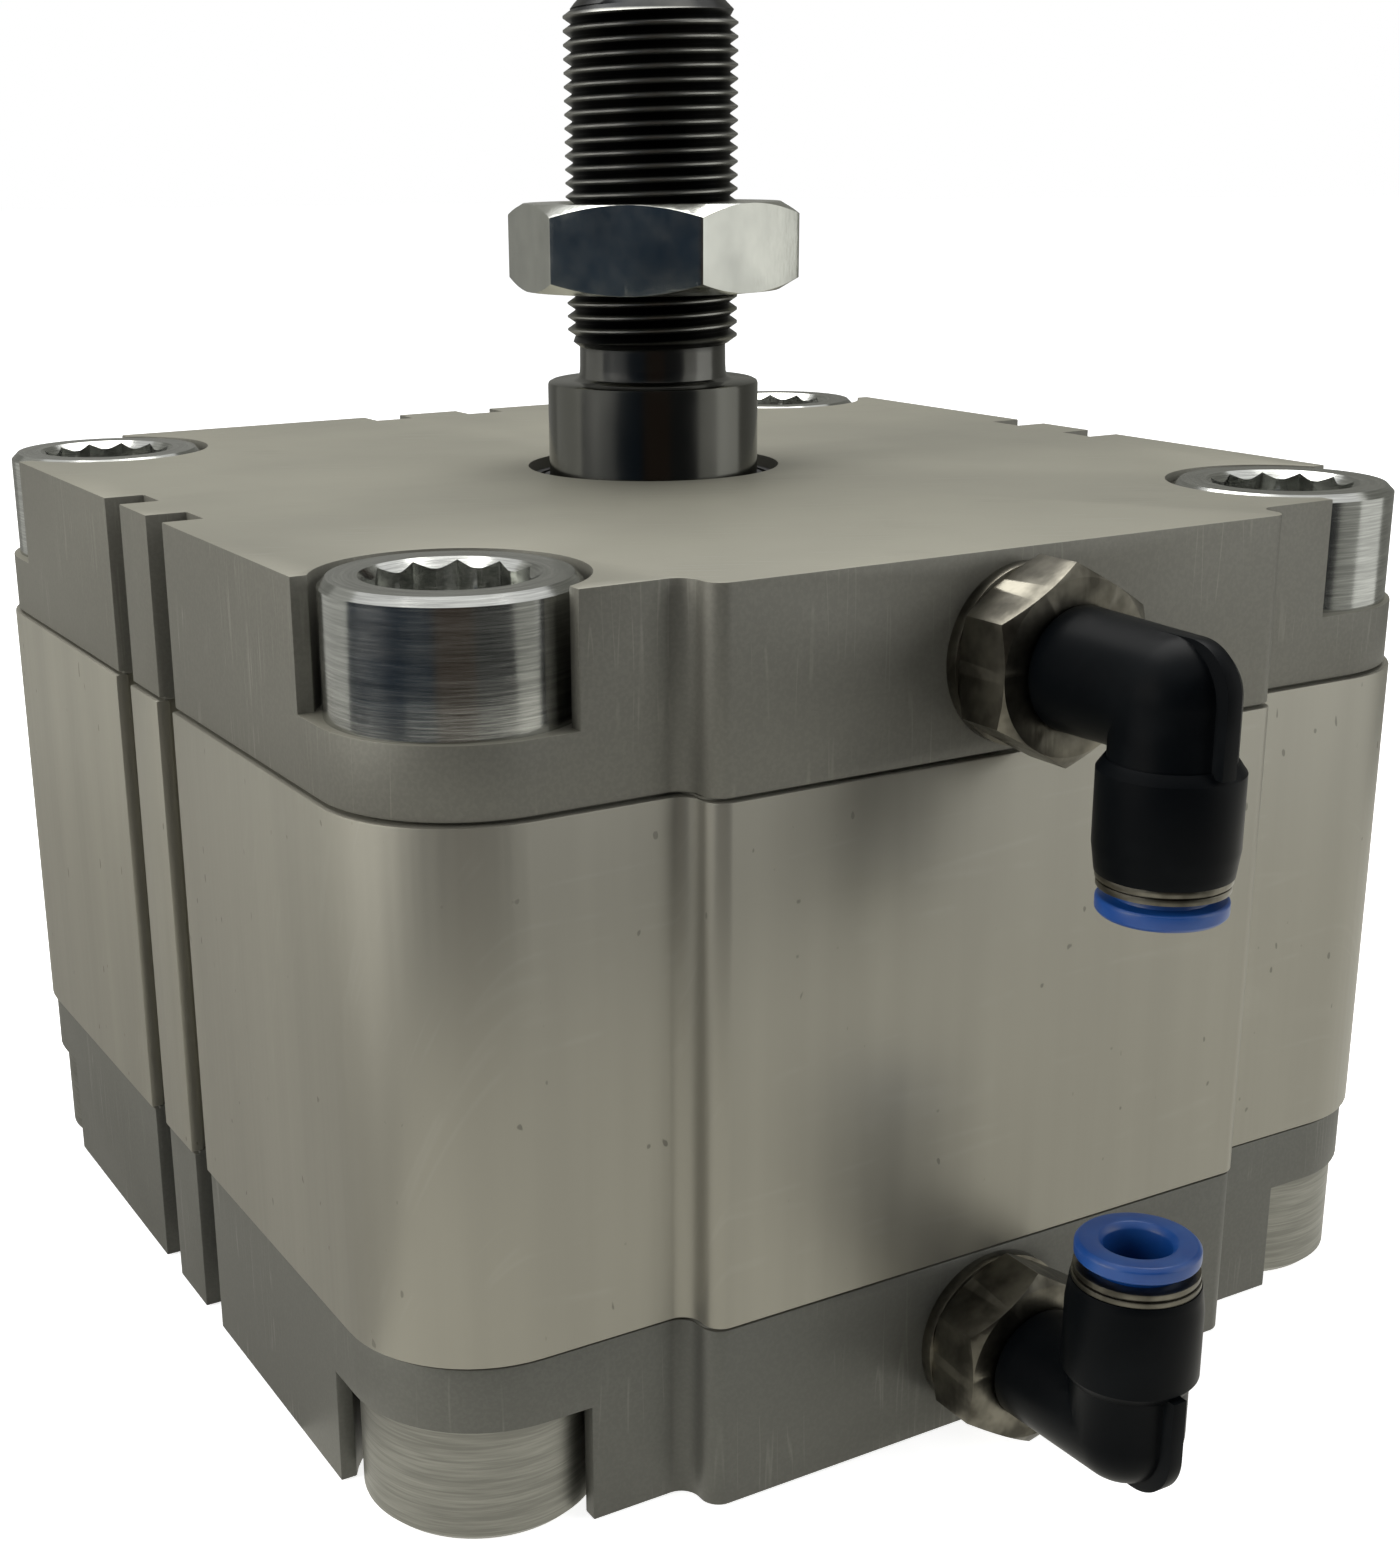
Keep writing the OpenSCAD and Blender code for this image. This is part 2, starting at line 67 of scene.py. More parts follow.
scene = bpy.context.scene
scene.view_settings.view_transform = "Standard"
azimuth, elevation, roll = (math.radians(a) for a in (-29.646, 17.788, 0.611))
reach = math.cos(elevation)
back = Vector((math.sin(azimuth) * reach, -math.cos(azimuth) * reach, math.sin(elevation)))
level = Vector((math.cos(azimuth), math.sin(azimuth), 0))
upright = back.cross(level)
right = math.cos(roll) * level - math.sin(roll) * upright
up = math.sin(roll) * level + math.cos(roll) * upright
camera_data = bpy.data.cameras.new("camera")
camera_data.sensor_fit = "VERTICAL"
camera_data.sensor_height = 36
camera_data.lens = 49.97
camera_data.shift_x = 0.0476
camera_data.shift_y = 0.0442
camera_data.clip_start = 0.01
camera = bpy.data.objects.new("camera", camera_data)
standpoint = Matrix.Translation((-0.132875, -0.225816, 0.128972))
camera.matrix_world = standpoint @ Matrix((right, up, back)).transposed().to_4x4()
scene.collection.objects.link(camera)
scene.camera = camera


class Socket:
    """A shader socket. Sums and products of sockets and numbers add Math nodes."""

    def __init__(self, nodes, out):
        self.nodes, self.out = nodes, out

    def maths(self, operation, *values):
        return self.nodes.add("ShaderNodeMath", {"operation": operation}, *values)

    def __add__(self, other):
        return self.maths("ADD", self, other)

    def __radd__(self, other):
        return self.maths("ADD", other, self)

    def __sub__(self, other):
        return self.maths("SUBTRACT", self, other)

    def __rsub__(self, other):
        return self.maths("SUBTRACT", other, self)

    def __mul__(self, other):
        return self.maths("MULTIPLY", self, other)

    def __rmul__(self, other):
        return self.maths("MULTIPLY", other, self)

    def __pow__(self, other):
        return self.maths("POWER", self, other)


class Shader:
    """A material's nodes, its Principled shader and its object coordinates."""

    def __init__(self, name, color, roughness, metallic=0.0, **settings):
        self.material = bpy.data.materials.new(name)
        self.material.use_nodes = True
        self.tree = self.material.node_tree
        self.shader = self.tree.nodes["Principled BSDF"]
        self.shader.inputs["Base Color"].default_value = (*color, 1)
        self.shader.inputs["Roughness"].default_value = roughness
        self.shader.inputs["Metallic"].default_value = metallic
        for socket, value in settings.items():
            self.shader.inputs[socket.replace("_", " ")].default_value = value
        self.place = self.add("ShaderNodeTexCoord", {}, output="Object")

    def add(self, kind, settings, *values, output=0, **named):
        node = self.tree.nodes.new(kind)
        for key, value in settings.items():
            if key == "stops":
                ramp = node.color_ramp
                for stop in value[2:]:
                    ramp.elements.new(stop[0])
                for element, stop in zip(ramp.elements, sorted(value)):
                    element.position = stop[0]
                    element.color = (stop[1],) * 3 + (1,)
            else:
                setattr(node, key, value)
        for key, value in [*enumerate(values), *named.items()]:
            if isinstance(value, Socket):
                self.tree.links.new(value.out, node.inputs[key])
            else:
                node.inputs[key].default_value = value
        return Socket(self, node.outputs[output])

    def drive(self, socket, value):
        self.tree.links.new(value.out, self.shader.inputs[socket])

    def noise(self, scale, detail=2.0, stretch=(1, 1, 1), place=None):
        """Noise from 0 to 1 with scale cells to the metre, drawn out by the stretch factors."""
        shrink = tuple(1 / s for s in stretch)
        spread = self.add("ShaderNodeMapping", {}, place or self.place, Scale=shrink)
        return self.add("ShaderNodeTexNoise", {}, Vector=spread, Scale=scale, Detail=detail)

    def ramp(self, value, *stops):
        """A grey from 0 to 1, through stops of a position and a grey."""
        return self.add("ShaderNodeValToRGB", {"stops": list(stops)}, value)

    def mix(self, amount, a, b):
        """A colour between a and b. Both are colours of three numbers, or sockets."""
        node = self.tree.nodes.new("ShaderNodeMix")
        node.data_type = "RGBA"
        for index, value in ((0, amount), (6, a), (7, b)):
            if isinstance(value, Socket):
                self.tree.links.new(value.out, node.inputs[index])
            else:
                node.inputs[index].default_value = value if index == 0 else (*value, 1)
        return Socket(self, node.outputs[2])

    def bump(self, height, distance, strength):
        bumped = self.add("ShaderNodeBump", {}, Height=height, Distance=distance, Strength=strength)
        self.drive("Normal", bumped)


def white_seen_directly(tree, lit, white):
    """Lets the camera, reflections and glass see white, where other rays get the light."""
    path = tree.nodes.new("ShaderNodeLightPath")
    seen = path.outputs["Is Camera Ray"]
    for ray in ("Is Glossy Ray", "Is Transmission Ray"):
        either = tree.nodes.new("ShaderNodeMath")
        either.operation = "MAXIMUM"
        tree.links.new(seen, either.inputs[0])
        tree.links.new(path.outputs[ray], either.inputs[1])
        seen = either.outputs[0]
    blend = tree.nodes.new("ShaderNodeMixShader")
    tree.links.new(seen, blend.inputs[0])
    tree.links.new(lit.outputs[0], blend.inputs[1])
    tree.links.new(white.outputs[0], blend.inputs[2])
    return blend


world = bpy.data.worlds.new("studio")
world.use_nodes = True
scene.world = world
world_tree = world.node_tree
room = world_tree.nodes["Background"]
room.inputs["Color"].default_value = (0.93, 0.96, 1, 1)
room.inputs["Strength"].default_value = 0.3
white_card = world_tree.nodes.new("ShaderNodeBackground")
white_card.inputs["Color"].default_value = (1, 1, 1, 1)
world_tree.links.new(white_seen_directly(world_tree, room, white_card).outputs[0],
                     world_tree.nodes["World Output"].inputs["Surface"])

floor_material = bpy.data.materials.new("white_floor")
floor_material.use_nodes = True
floor_tree = floor_material.node_tree
paper = floor_tree.nodes["Principled BSDF"]
paper.inputs["Base Color"].default_value = (0.8, 0.8, 0.8, 1)
paper.inputs["Roughness"].default_value = 0.9
glow = floor_tree.nodes.new("ShaderNodeEmission")
glow.inputs["Strength"].default_value = 0.8
both = floor_tree.nodes.new("ShaderNodeAddShader")
floor_tree.links.new(paper.outputs[0], both.inputs[0])
floor_tree.links.new(glow.outputs[0], both.inputs[1])
floor_tree.links.new(white_seen_directly(floor_tree, paper, both).outputs[0],
                     floor_tree.nodes["Material Output"].inputs["Surface"])

bm = bmesh.new()
bmesh.ops.create_circle(bm, cap_ends=True, radius=6, segments=64)
floor_mesh = bpy.data.meshes.new("floor")
bm.to_mesh(floor_mesh)
bm.free()
floor = bpy.data.objects.new("floor", floor_mesh)
floor.location.z = cad_box[0][2] - 0.0002
floor_mesh.materials.append(floor_material)
scene.collection.objects.link(floor)


def lamp(name, place, target, size, power, color=(1, 1, 1)):
    data = bpy.data.lights.new(name, "AREA")
    data.shape, data.size, data.size_y = "RECTANGLE", *size
    data.energy, data.color = power, color
    obj = bpy.data.objects.new(name, data)
    obj.location = place
    obj.rotation_euler = (Vector(target) - Vector(place)).to_track_quat("-Z", "Y").to_euler()
    scene.collection.objects.link(obj)


middle = (0, 0, 0.06)
lamp("lamp_above", (0.1, 0.25, 1.0), middle, (0.9, 0.7), 9, (1, 0.99, 0.96))
lamp("lamp_left", (-0.95, 0.1, 0.35), middle, (0.5, 0.7), 8.5, (1, 0.98, 0.94))
lamp("lamp_right", (0.6, -0.75, 0.35), middle, (0.4, 0.6), 3)


def room_card(name, start_deg, end_deg, tone, outline):
    """Part of the floor or wall of a room, of one tone, that only reflections see."""
    bm = bmesh.new()
    start, end = math.radians(start_deg), math.radians(end_deg)
    points = [bm.verts.new((r * math.sin(start), -r * math.cos(start), z)) for r, z in outline]
    edges = [bm.edges.new(pair) for pair in zip(points, points[1:])]
    bmesh.ops.spin(bm, geom=points + edges, axis=(0, 0, 1), cent=(0, 0, 0), angle=end - start, steps=16)
    mesh = bpy.data.meshes.new(name)
    bm.to_mesh(mesh)
    bm.free()
    card = bpy.data.objects.new(name, mesh)
    material = bpy.data.materials.new(name)
    material.use_nodes = True
    tree = material.node_tree
    tree.nodes.remove(tree.nodes["Principled BSDF"])
    emission = tree.nodes.new("ShaderNodeEmission")
    emission.inputs["Color"].default_value = (*tone, 1)
    tree.links.new(emission.outputs[0], tree.nodes["Material Output"].inputs["Surface"])
    mesh.materials.append(material)
    scene.collection.objects.link(card)
    card.visible_camera = card.visible_diffuse = card.visible_shadow = False


# Azimuths start at the side with the ports and grow towards its right. The outlines are pairs of
# a radius and a height.
ground = floor.location.z + 0.0001
TABLE = [(0.03, ground), (0.34, ground)]
ROOM = [(0.34, ground), (0.7, ground), (0.7, 0.7)]
room_card("table_near_right", -62, 110, (0.9, 0.88, 0.8), TABLE)
room_card("table_near_left", 110, 298, (0.34, 0.33, 0.3), TABLE)
room_card("room_window_left", -160, -115, (0.5, 0.5, 0.47), ROOM)
room_card("room_dark_left", -115, -43, (0.012, 0.022, 0.036), ROOM)
room_card("room_brown", -40, -12, (0.04, 0.028, 0.022), ROOM)
room_card("room_dark_gap", -43, -40, (0.012, 0.014, 0.018), ROOM)
room_card("room_dark_front", -12, 20, (0.02, 0.022, 0.024), ROOM)
room_card("room_grey_front", 20, 43, (0.3, 0.3, 0.275), ROOM)
room_card("room_window_right", 43, 76, (0.85, 0.85, 0.81), ROOM)
room_card("room_right", 76, 150, (0.2, 0.2, 0.18), ROOM)
room_card("room_back", 150, 200, (0.25, 0.25, 0.23), ROOM)

# ---- End caps ----
# Two aluminium castings, machined square and blasted to a dull grey. Their faces that look up
# get a painted highlight, as lit from the lamp above, brightest on the front cap. All edges are
# lightly broken, and the slots are milled through.

# The turn between two faces past which their edge counts as sharp
SHARP = math.radians(28)
# The turn up to which two faces count as one flat face
FLAT = math.radians(0.3)
# Vertices nearer than this are merged, in metres
MERGE = 2e-6


def eased(name, node, body, slot, material, width, segments=2):
    """A copy of a node with merged faces, whose sharp edges are rounded by the width in mm."""
    bm = bmesh.new()
    bm.from_mesh(frame["nodes"][node].data)
    bmesh.ops.remove_doubles(bm, verts=bm.verts, dist=MERGE)
    bmesh.ops.dissolve_limit(bm, angle_limit=FLAT, verts=bm.verts, edges=bm.edges)
    edges = [e for e in bm.edges if e.is_manifold and e.calc_face_angle() > SHARP]
    bmesh.ops.bevel(bm, geom=edges, offset=width / 1000, offset_type="OFFSET", segments=segments,
                    profile=0.5, affect="EDGES", clamp_overlap=True, material=-1)
    return finished(name, bm, body, slot, material, node)


def finished(name, bm, body, slot, material, *nodes):
    """Makes a piece from a bmesh, smooth between the sharp edges, and rides it on its body."""
    bmesh.ops.triangulate(bm, faces=[f for f in bm.faces if len(f.verts) > 4])
    for face in bm.faces:
        face.smooth = True
    for edge in bm.edges:
        edge.smooth = not (edge.is_manifold and edge.calc_face_angle() > SHARP)
    mesh = bpy.data.meshes.new(name)
    bm.to_mesh(mesh)
    bm.free()
    mesh.materials.append(material)
    piece = bpy.data.objects.new(name, mesh)
    scene.collection.objects.link(piece)
    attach(piece, body)
    if nodes:
        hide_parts(*nodes)
    return piece


def scratches(shader, scale, length, turn, width=0.03):
    """Fine scratches from 0 to 1, drawn out by length along the turned X and Z axes."""
    turned = shader.add("ShaderNodeMapping", {}, shader.place, Rotation=turn)
    lines = shader.noise(scale, 1.0, (length, 1, length), place=turned)
    broken = shader.noise(120, 2.0)
    along = shader.ramp(lines, (0.5 - width, 0), (0.5 + width, 0), (0.5, 1))
    return along * shader.ramp(broken, (0.5, 0), (0.62, 1))


def blasted_aluminium(name, color, lit_top_color):
    """A grainy dull grey, with a painted highlight: faces that look up get a lighter tone, as lit from
    above.
    """
    m = Shader(name, color, 0.5, 0.45)
    clouds = m.noise(28, 3.0)
    grain = m.noise(2600, 2.0)
    marks = scratches(m, 1100, 45, (0, 0, 0.5), 0.02)
    # Painted highlight: the faces that look up are painted in a lighter tone, as lit from above.
    normal = m.add("ShaderNodeNewGeometry", {}, output="Normal")
    facing = m.add("ShaderNodeSeparateXYZ", {}, normal, output="Z")
    top = m.ramp(facing, (0.5, 0), (0.9, 1))
    base = m.mix(top, color, lit_top_color)
    clouded = m.ramp(clouds, (0.35, 0), (0.7, 1))
    toned = m.mix(clouded, base, tuple(c * 0.86 for c in color))
    # The painted top highlight is laid on once more, over the clouds.
    toned = m.mix(0.6 * top, toned, lit_top_color)
    speckled = m.mix(m.ramp(grain, (0.42, 0), (0.62, 0.14)), toned, tuple(c * 1.6 for c in color))
    m.drive("Base Color", m.mix(0.35 * marks, speckled, tuple(c * 1.7 for c in color)))
    m.drive("Roughness", 0.46 + 0.1 * clouds - 0.12 * marks)
    m.bump(grain + 0.6 * marks, 0.00002, 0.35)
    return m.material


# The rear cap gets a darker grey and a weaker painted top highlight.
front_cap_finish = blasted_aluminium("cap_light", (0.135, 0.132, 0.111), (0.25, 0.243, 0.198))
rear_cap_finish = blasted_aluminium("cap_dark", (0.115, 0.115, 0.1), (0.15, 0.146, 0.124))
eased("front_cap_casting", "front_cap", "housing", "cap_light", front_cap_finish, 0.25)
eased("rear_cap_casting", "rear_cap", "housing", "cap_dark", rear_cap_finish, 0.25)

# ---- Barrel ----
# An aluminium extrusion with a honed bore and lipped slots on three sides. It is anodised, with a
# satin sheen, faint lines along its length, and a few knocks and scratches from use.

m = Shader("anodised_barrel", (0.3, 0.288, 0.24), 0.42, 0.7)
lines = m.noise(1500, 2.0, (1, 1, 90))
streaks = m.noise(160, 2.0, (1, 1, 14))
clouds = m.noise(16, 2.0)
grain = m.noise(3000, 1.0)
specks = m.ramp(m.noise(1100, 0.0, (1, 1, 2)), (0.83, 0), (0.86, 1))
marks = scratches(m, 500, 45, (0, 1.5708, 0.3))
tone = m.mix(m.ramp(streaks, (0.3, 0), (0.7, 1)), (0.28, 0.27, 0.228), (0.315, 0.304, 0.256))
tone = m.mix(m.ramp(clouds, (0.4, 0), (0.65, 0.5)), tone, (0.27, 0.26, 0.22))
tone = m.mix(0.08 * marks, tone, (0.46, 0.45, 0.4))
m.drive("Base Color", m.mix(0.5 * specks, tone, (0.1, 0.095, 0.08)))
m.drive("Roughness", 0.36 + 0.1 * lines + 0.2 * specks)
m.bump(0.7 * lines + 0.4 * grain - 2 * specks, 0.00001, 0.4)
eased("barrel_extrusion", "barrel", "housing", "barrel", m.material, 0.2)

# ---- Corner screws ----
# Turned steel screws with a twelve-point socket and a mounting thread below it. They are bright
# zinc plated, with fine turning marks round the head.

PITCH_M10 = 0.0015
THREAD_R = 0.005
THREAD_L = 0.0105
THREAD_DEPTH = 0.00076
# From the outer face of a screw's head to the lower end of its thread
FRONT_DEPTH = 0.0168
REAR_DEPTH = 0.0062
SCREW_AXIS = 0.0515


def bright_zinc(name, rough, tone):
    """Bright plate whose turning marks run round each of the four corner axes."""
    m = Shader(name, tone, 0.2, 1.0)
    x, y, z = (m.add("ShaderNodeSeparateXYZ", {}, m.place, output=o) for o in "XYZ")
    x, y = (s.maths("ABSOLUTE", s) - SCREW_AXIS for s in (x, y))
    radius = (x * x + y * y) ** 0.5
    angle = m.add("ShaderNodeMath", {"operation": "ARCTAN2"}, y, x)
    around = m.add("ShaderNodeCombineXYZ", {}, 0.004 * angle, radius, z)
    marks = m.noise(5200, 3.0, (9, 1, 1), place=around)
    broad = m.noise(900, 2.0, (6, 1, 1), place=around)
    smudge = m.noise(190, 3.0)
    ridges = m.ramp(marks * 0.6 + 0.4 * broad, (0.4, 0), (0.66, 1))
    m.drive("Base Color", m.mix(ridges, tuple(0.66 * c for c in tone), tone))
    m.drive("Roughness", rough + 0.14 * smudge + 0.06 * marks)
    m.bump(marks + 0.8 * broad, 0.00001, 0.45)
    return m.material


SCREW_FINISH = {
    "front": bright_zinc("zinc_front_screws", 0.07, (0.6, 0.61, 0.58)),
    "rear": bright_zinc("zinc_rear_screws", 0.34, (0.3, 0.3, 0.27)),
}
for end in ("front", "rear"):
    for number in range(1, 5):
        node = f"{end}_screw_{number}"
        low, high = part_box(node)
        eased(f"{node}_turned", node, "housing", "zinc_steel", SCREW_FINISH[end], 0.25)
        # The mounting thread is one turn's profile, spun with a rise of one pitch
        bm = bmesh.new()
        cx, cy = (low[0] + high[0]) / 2, (low[1] + high[1]) / 2
        bottom = high[2] - FRONT_DEPTH if end == "front" else low[2] + REAR_DEPTH
        turns, steps = 7, 36
        groove_r = THREAD_R - 0.00002
        crest_r = groove_r - THREAD_DEPTH
        profile = [(groove_r, 0), (crest_r, 0.44), (crest_r, 0.56), (groove_r, 1)]
        verts = [bm.verts.new((cx + r, cy, bottom + share * PITCH_M10)) for r, share in profile]
        edges = [bm.edges.new(pair) for pair in zip(verts, verts[1:])]
        bmesh.ops.spin(bm, geom=verts + edges, axis=(0, 0, 1), cent=(cx, cy, 0),
                       dvec=(0, 0, PITCH_M10 / steps), angle=2 * math.pi * turns, steps=steps * turns)
        bmesh.ops.remove_doubles(bm, verts=bm.verts, dist=1e-6)
        bmesh.ops.bisect_plane(bm, geom=bm.verts[:] + bm.edges[:] + bm.faces[:],
                               plane_co=(0, 0, bottom + THREAD_L), plane_no=(0, 0, 1), clear_outer=True)
        for face in bm.faces:
            face.normal_update()
            centre = face.calc_center_median()
            if face.normal.dot(Vector((cx - centre.x, cy - centre.y, 0))) < 0:
                face.normal_flip()
        finished(f"{node}_thread", bm, "housing", "zinc_steel", SCREW_FINISH[end])

# ---- Piston rod ----
# Ground and polished steel, with a relief and a rolled M20 x 1.5 thread. Painted shade makes the
# thread's grooves nearly black, and a painted highlight makes its crests bright.

ROD_PITCH = 0.0015
ROD_R = 0.0125
CREST_R = 0.01
ROOT_R = 0.00908
RELIEF_R = 0.00862
TIP_R = 0.0082
ROD_THREAD_L = 0.0378
RELIEF_L = 0.0045
# The centre hole in the tip
CENTRE_R = 0.003
CENTRE_DEPTH = 0.0026
rod_low, rod_high = (Vector(c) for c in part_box("piston_rod"))
rod_top = rod_high.z
thread_from = rod_top - ROD_THREAD_L
shoulder = thread_from - RELIEF_L
run_out = thread_from - 0.0006

m = Shader("ground_steel", (0.12, 0.12, 0.11), 0.16, 1.0)
x, y, z = (m.add("ShaderNodeSeparateXYZ", {}, m.place, output=o) for o in "XYZ")
radius = (x * x + y * y) ** 0.5
fine = m.noise(2200, 2.0, (14, 14, 1))
smudge = m.noise(130, 3.0)
# Painted light in the thread: shade painted into the grooves and a highlight painted on the crests.
crest = m.ramp(radius * 100, (0.958, 0), (0.992, 1))
in_thread = m.ramp((z - (thread_from - 0.001)) * 1000, (0.0, 0), (1.0, 1))
# Painted groove shade: nearly black in the thread's grooves, while the plain relief keeps its own grey.
dark = m.mix(in_thread, (0.15, 0.15, 0.142), (0.012, 0.013, 0.014))
# Painted crest highlight: the thread's crests are painted lighter than the plain rod.
lit = m.mix(in_thread, (0.14, 0.14, 0.127), (0.3, 0.3, 0.28))
# Smudged patches lighten the painted groove shade.
groove_shade_and_smudge = m.mix(m.ramp(smudge, (0.4, 0), (0.65, 0.4)), dark, (0.06, 0.058, 0.05))
m.drive("Base Color", m.mix(crest, groove_shade_and_smudge, lit))
m.drive("Roughness", 0.12 + 0.12 * smudge + 0.12 * in_thread)
m.bump(fine, 0.00001, 0.3)
rod_finish = m.material

STEPS = 72
bm = bmesh.new()
thread_turns = math.ceil((rod_top - thread_from) / ROD_PITCH) + 2
start_z = thread_from - ROD_PITCH
flank_r = ROOT_R + 0.00008
flank = [(ROOT_R, 0), (flank_r, 0.06), (CREST_R, 0.44), (CREST_R, 0.56), (flank_r, 0.94), (ROOT_R, 1)]
verts = [bm.verts.new((r, 0, start_z + share * ROD_PITCH)) for r, share in flank]
edges = [bm.edges.new(pair) for pair in zip(verts, verts[1:])]
bmesh.ops.spin(bm, geom=verts + edges, axis=(0, 0, 1), cent=(0, 0, 0), dvec=(0, 0, ROD_PITCH / STEPS),
               angle=2 * math.pi * thread_turns, steps=STEPS * thread_turns)
bmesh.ops.remove_doubles(bm, verts=bm.verts, dist=1e-6)
for height, normal in ((run_out, -1), (rod_top - 0.0001, 1)):
    bmesh.ops.bisect_plane(bm, geom=bm.verts[:] + bm.edges[:] + bm.faces[:], plane_co=(0, 0, height),
                           plane_no=(0, 0, normal), clear_outer=True)
# The thread runs out into the relief and into the bevel of the tip
for vert in bm.verts:
    limit = min(TIP_R + (rod_top - vert.co.z), RELIEF_R + max(0, vert.co.z - run_out) * 1.3)
    r = math.hypot(vert.co.x, vert.co.y)
    if r > limit:
        vert.co.x *= limit / r
        vert.co.y *= limit / r
tip_ring = [e for e in bm.edges if e.is_boundary and min(v.co.z for v in e.verts) > rod_top - 0.0002]
tip = bmesh.ops.extrude_edge_only(bm, edges=tip_ring)["geom"]
for vert in (v for v in tip if isinstance(v, bmesh.types.BMVert)):
    r = math.hypot(vert.co.x, vert.co.y)
    vert.co = Vector((vert.co.x * CENTRE_R / r, vert.co.y * CENTRE_R / r, rod_top))
rim_edges = [e for e in tip if isinstance(e, bmesh.types.BMEdge)]
inner = bmesh.ops.extrude_edge_only(bm, edges=rim_edges)["geom"]
for vert in (v for v in inner if isinstance(v, bmesh.types.BMVert)):
    vert.co = Vector((0, 0, rod_top - CENTRE_DEPTH))
bmesh.ops.remove_doubles(bm, verts=bm.verts, dist=MERGE)
# The plain rod below the thread is a turned outline of radii and heights
foot_r = 0.008
foot_z = rod_low.z
piston_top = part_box("piston")[1][2]
outline = [
    (0.0001, foot_z), (foot_r, foot_z), (foot_r, piston_top), (ROD_R, piston_top),
    (ROD_R, shoulder - 0.0005), (ROD_R - 0.0001, shoulder - 0.0002), (ROD_R - 0.0005, shoulder),
    (0.0097, shoulder), (0.0093, shoulder + 0.0001), (0.0089, shoulder + 0.0004),
    (0.0087, shoulder + 0.0009), (0.00865, shoulder + 0.0016), (RELIEF_R, thread_from - 0.0004),
]
verts = [bm.verts.new((r, 0, z)) for r, z in outline]
edges = [bm.edges.new(pair) for pair in zip(verts, verts[1:])]
bmesh.ops.spin(bm, geom=verts + edges, axis=(0, 0, 1), cent=(0, 0, 0), angle=2 * math.pi, steps=STEPS,
               use_merge=True)
bmesh.ops.remove_doubles(bm, verts=bm.verts, dist=1e-6)
bmesh.ops.recalc_face_normals(bm, faces=bm.faces)
finished("rod_with_thread", bm, "rod", "rod_steel", rod_finish, "piston_rod")

# ---- Lock nut ----
# A thin hexagonal nut, pressed from steel and bright zinc plated, bevelled at both faces.

m = Shader("zinc_nut", (0.66, 0.67, 0.63), 0.16, 1.0)
dents = m.noise(420, 3.0)
fine = m.noise(2400, 2.0, (1, 1, 3))
stain = m.noise(90, 3.0)
m.drive("Base Color", m.mix(m.ramp(stain, (0.35, 0), (0.7, 1)), (0.74, 0.75, 0.7), (0.52, 0.53, 0.5)))
m.drive("Roughness", 0.1 + 0.16 * dents)
m.bump(dents + 0.3 * fine, 0.00008, 0.3)
eased("lock_nut_pressed", "lock_nut", "nut", "zinc_steel", m.material, 0.3, 3)

# ---- Fitting bodies ----
# Hexagonal brass studs, nickel plated, screwed into the ports. The plate has gone dull and yellowish
# and has spanner marks.

m = Shader("nickel_brass", (0.34, 0.32, 0.26), 0.28, 1.0)
stain = m.noise(260, 3.0)
rubs = m.noise(2600, 2.0, (1, 1, 16))
m.drive("Base Color", m.mix(m.ramp(stain, (0.35, 0), (0.65, 1)), (0.2, 0.189, 0.155), (0.06, 0.056, 0.045)))
m.drive("Roughness", 0.2 + 0.18 * stain + 0.08 * rubs)
m.bump(rubs + stain, 0.00003, 0.5)
nickel = m.material
for port in ("upper", "lower"):
    eased(f"{port}_hexagon", f"{port}_stud", "housing", "nickel_brass", nickel, 0.15)
    eased(f"{port}_clamp", f"{port}_clamp_ring", f"{port}_swivel", "nickel_brass", nickel, 0.06)

# ---- Elbows ----
# Moulded from black glass-filled nylon, with soft edges, a rib outside the bend and a fine grain.

m = Shader("black_nylon", (0.003, 0.004, 0.005), 0.36, 0.0, Specular_IOR_Level=0.06)
grain = m.noise(1900, 3.0)
worn = m.noise(140, 3.0)
wear = m.ramp(worn, (0.5, 0), (0.75, 0.5))
m.drive("Base Color", m.mix(wear, (0.0014, 0.002, 0.0027), (0.004, 0.005, 0.006)))
m.drive("Roughness", 0.3 + 0.16 * worn)
m.bump(grain, 0.00001, 0.3)
nylon = m.material
for port in ("upper", "lower"):
    eased(f"{port}_elbow_moulded", f"{port}_elbow", f"{port}_swivel", "black_plastic", nylon, 0.05)

# ---- Release rings ----
# Blue moulded acetal rings that free the tube when they are pushed in.

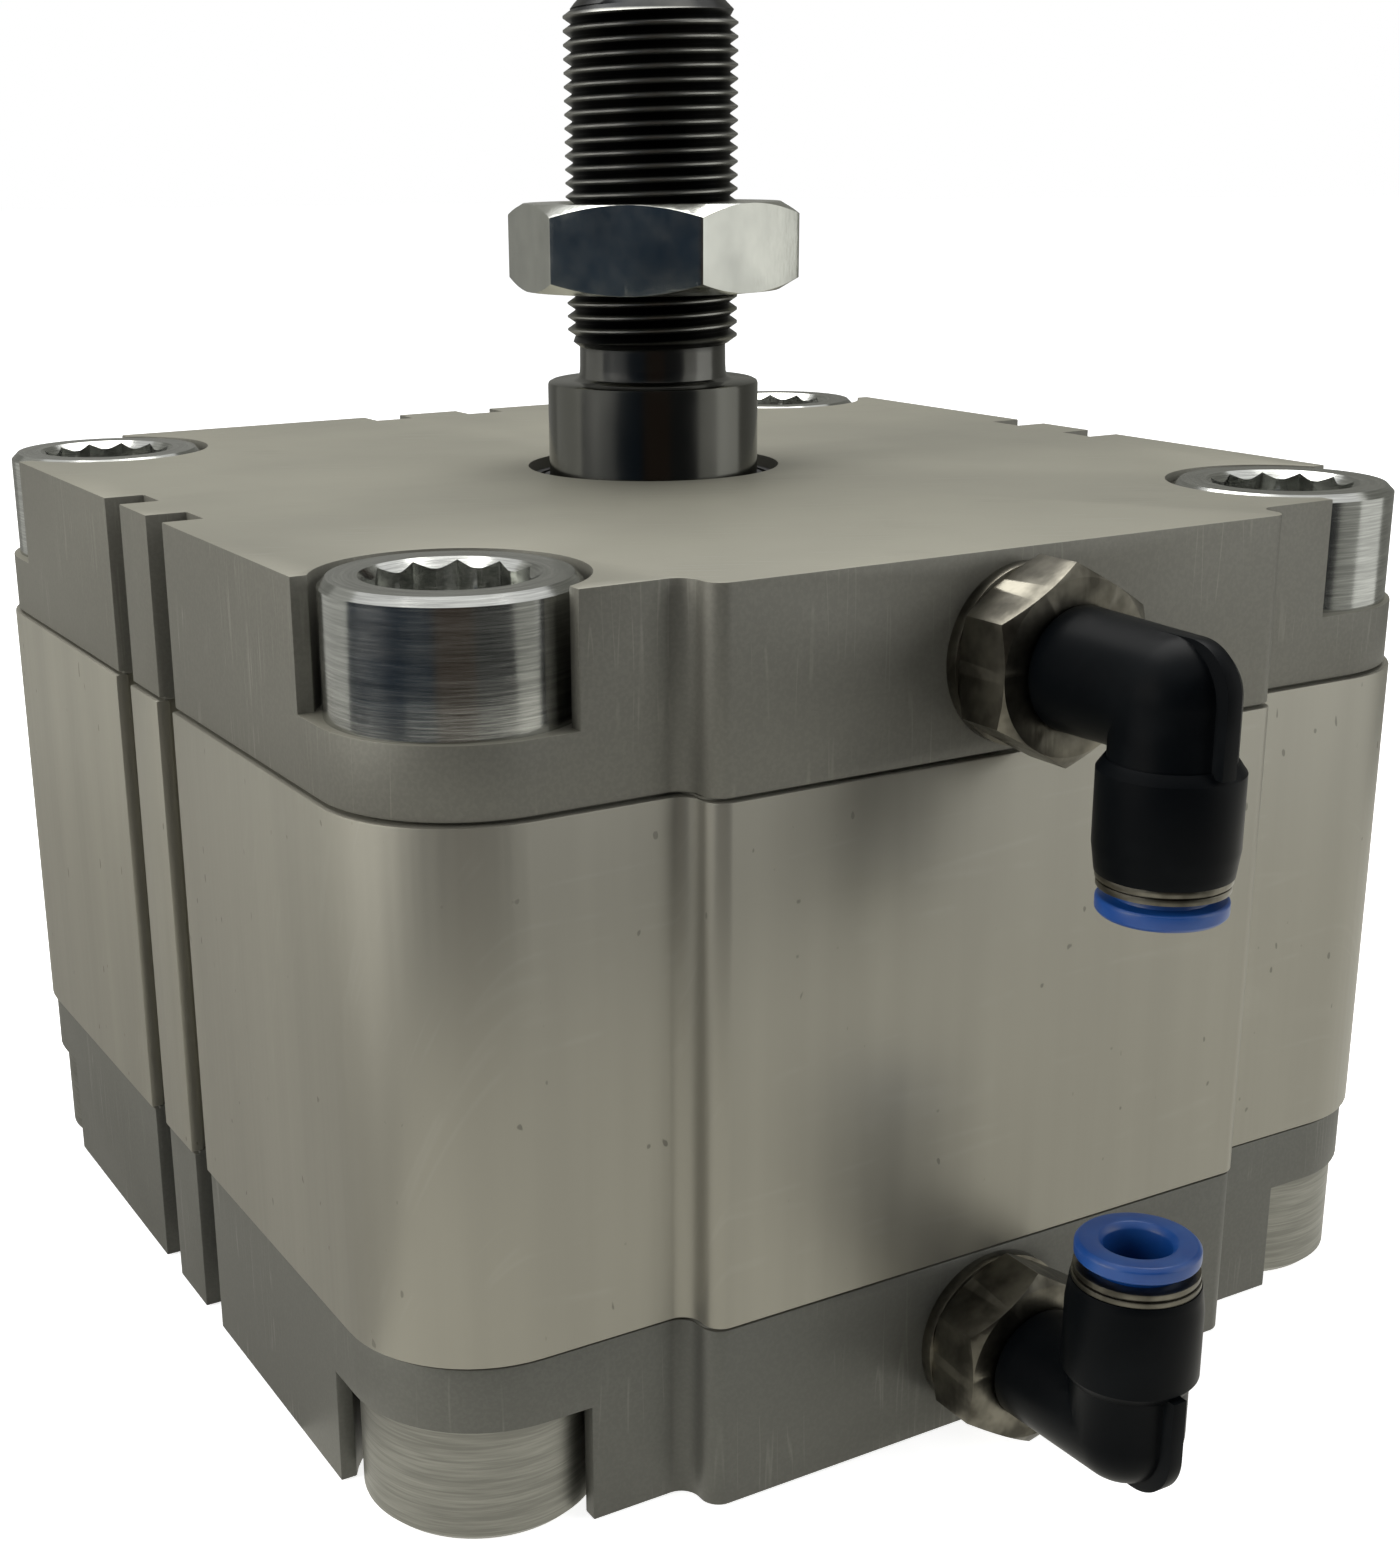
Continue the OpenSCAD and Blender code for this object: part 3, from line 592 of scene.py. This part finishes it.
m = Shader("blue_acetal", (0.01, 0.07, 0.26), 0.34, 0.0)
worn = m.noise(300, 3.0)
m.drive("Base Color", m.mix(m.ramp(worn, (0.4, 0), (0.75, 0.6)), (0.004, 0.042, 0.19), (0.012, 0.07, 0.25)))
m.drive("Roughness", 0.28 + 0.14 * worn)
m.bump(m.noise(1500, 2.0), 0.00001, 0.3)
blue = m.material
for port in ("upper", "lower"):
    eased(f"{port}_ring_moulded", f"{port}_release_ring", f"{port}_button", "blue_plastic", blue, 0.12)

# ---- Seals, bush and inner pieces ----
# Black rubber rings, a sintered bronze bush, and the piston with its magnet, guide band and bolt.
# They are the CAD solids with their own finishes.


def plain(name, color, roughness, metallic, scale, depth):
    """A finish with grain and a slight change of tone."""
    m = Shader(name, color, roughness, metallic)
    grain = m.noise(scale, 2.0)
    darker, lighter = (tuple(c * share for c in color) for share in (0.8, 1.15))
    m.drive("Base Color", m.mix(m.ramp(grain, (0.3, 0), (0.7, 1)), darker, lighter))
    m.drive("Roughness", roughness - 0.06 + 0.12 * m.noise(scale / 6, 2.0))
    m.bump(grain, depth, 0.4)
    return m.material


INNER = {
    "rubber": plain("black_rubber", (0.018, 0.018, 0.019), 0.6, 0, 1500, 0.00002),
    "buffer": plain("buffer_rubber", (0.035, 0.035, 0.035), 0.7, 0, 1200, 0.00003),
    "bronze": plain("sintered_bronze", (0.42, 0.26, 0.11), 0.42, 1, 2600, 0.00002),
    "piston_metal": plain("turned_piston", (0.45, 0.45, 0.43), 0.3, 1, 1800, 0.00001),
    "magnet": plain("bonded_magnet", (0.03, 0.03, 0.032), 0.5, 0, 1700, 0.00002),
    "bolt_steel": plain("blackened_bolt", (0.06, 0.06, 0.062), 0.4, 1, 1400, 0.00002),
    "guide_plastic": plain("guide_band", (0.12, 0.07, 0.035), 0.45, 0, 1500, 0.00001),
    "spring_steel": plain("spring_steel", (0.5, 0.5, 0.48), 0.25, 1, 1600, 0.00001),
}
slot_of = {s["node"]: s["material_slot"] for s in frame["record"]["subparts"]}
for node, obj in frame["nodes"].items():
    if slot_of[node] in INNER:
        for slot in obj.material_slots:
            slot.material = INNER[slot_of[node]]
